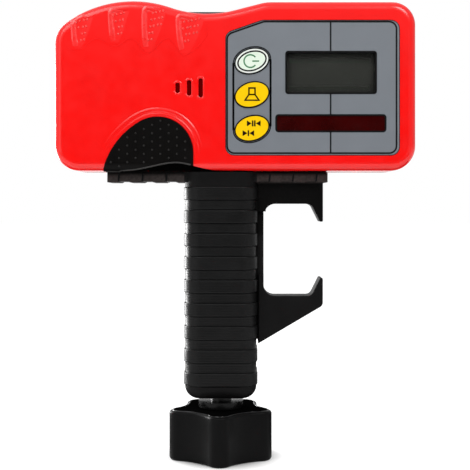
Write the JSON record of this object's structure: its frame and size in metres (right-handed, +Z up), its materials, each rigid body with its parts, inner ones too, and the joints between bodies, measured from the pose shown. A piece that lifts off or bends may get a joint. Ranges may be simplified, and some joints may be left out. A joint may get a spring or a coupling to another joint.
{
  "type": "laser detector on a staff clamp",
  "caption": "Hand-held laser detector with display, sensor window and keys, on a staff clamp with a ribbed handle, a screw-driven hooked jaw and a star knob.",
  "frame": {"origin": "centre of the star knob's foot, on the clamp screw's axis", "axes": "+Z up the handle towards the detector, +X to the right along the detector as its face is read, the face looking along -Y"},
  "size_m": [0.1671, 0.0465, 0.214],
  "materials": {
    "red_plastic": "satin moulded red",
    "case_black": "fine textured black",
    "clamp_plastic": "fine textured black",
    "knob_plastic": "satin moulded black",
    "grip_rubber": "matt ribbed rubber",
    "pad_rubber": "matt dotted rubber",
    "panel_grey": "printed film",
    "clear_glass": "clear polished",
    "lcd_grey": "dark olive display",
    "red_filter": "dark red polished filter",
    "key_white": "smooth",
    "key_yellow": "smooth",
    "board_green": "solder mask",
    "cell_jacket": "wrapped metal can",
    "steel": "zinc plated",
    "black_steel": "blackened steel",
    "brass": "turned"
  },
  "bodies": {
    "clamp": {"clamp_head": "clamp_plastic", "handle_core": "clamp_plastic", "grip_sleeve": "grip_rubber", "end_cap": "clamp_plastic", "cap_pins": "steel", "thrust_washer": "steel", "top_bush": "brass", "head_screws": "steel", "friction_washer": "grip_rubber"},
    "knob": {"star_knob": "knob_plastic", "knob_collar": "knob_plastic", "lead_screw": "black_steel", "screw_clip": "steel"},
    "jaw": {"lower_jaw": "clamp_plastic", "drive_nut": "brass", "jaw_screws": "steel"},
    "detector": {"front_shell": "red_plastic", "rear_cover": "case_black", "case_seal": "pad_rubber", "face_panel": "panel_grey", "lcd_window": "clear_glass", "lcd_module": "lcd_grey", "sensor_window": "red_filter", "sensor_board": "board_green", "main_board": "board_green", "board_screws": "steel", "key_switches": "case_black", "buzzer": "case_black", "thumb_pad": "pad_rubber", "case_screws": "steel", "battery_cells": "cell_jacket", "battery_contacts": "steel", "door_pin": "steel", "swivel_stud": "steel", "stud_clip": "steel"},
    "door": {"battery_door": "case_black"},
    "power_button": {"power_key": "key_white"},
    "sound_button": {"sound_key": "key_yellow"},
    "mode_button": {"mode_key": "key_yellow"}
  },
  "joints": [
    {"name": "knob_turn", "type": "hinge", "parent": "clamp", "child": "knob", "pos_m": [0, 0, 0], "axis": [0, 0, 1], "range_deg": [-1081, 2161]},
    {"name": "jaw_slide", "type": "slide", "parent": "clamp", "child": "jaw", "axis": [0, 0, 1], "range_m": [-0.018, 0.009]},
    {"name": "detector_swivel", "type": "hinge", "parent": "clamp", "child": "detector", "pos_m": [0, 0, 0.1349], "axis": [0, 0, 1], "range_deg": [-90, 90]},
    {"name": "door_hinge", "type": "hinge", "parent": "detector", "child": "door", "pos_m": [-0.037, 0.0155, 0.15095], "axis": [-1, 0, 0], "range_deg": [0, 95]},
    {"name": "power_press", "type": "slide", "parent": "detector", "child": "power_button", "axis": [0, 1, 0], "range_m": [0, 0.0008], "stiffness_N_per_m": 1500, "springref_m": -0.0004},
    {"name": "sound_press", "type": "slide", "parent": "detector", "child": "sound_button", "axis": [0, 1, 0], "range_m": [0, 0.0008], "stiffness_N_per_m": 1500, "springref_m": -0.0004},
    {"name": "mode_press", "type": "slide", "parent": "detector", "child": "mode_button", "axis": [0, 1, 0], "range_m": [0, 0.0008], "stiffness_N_per_m": 1500, "springref_m": -0.0004}
  ],
  "couplings": [
    {"joint": "knob_turn", "follows": "jaw_slide", "rad_per_m": -2094.4}
  ]
}
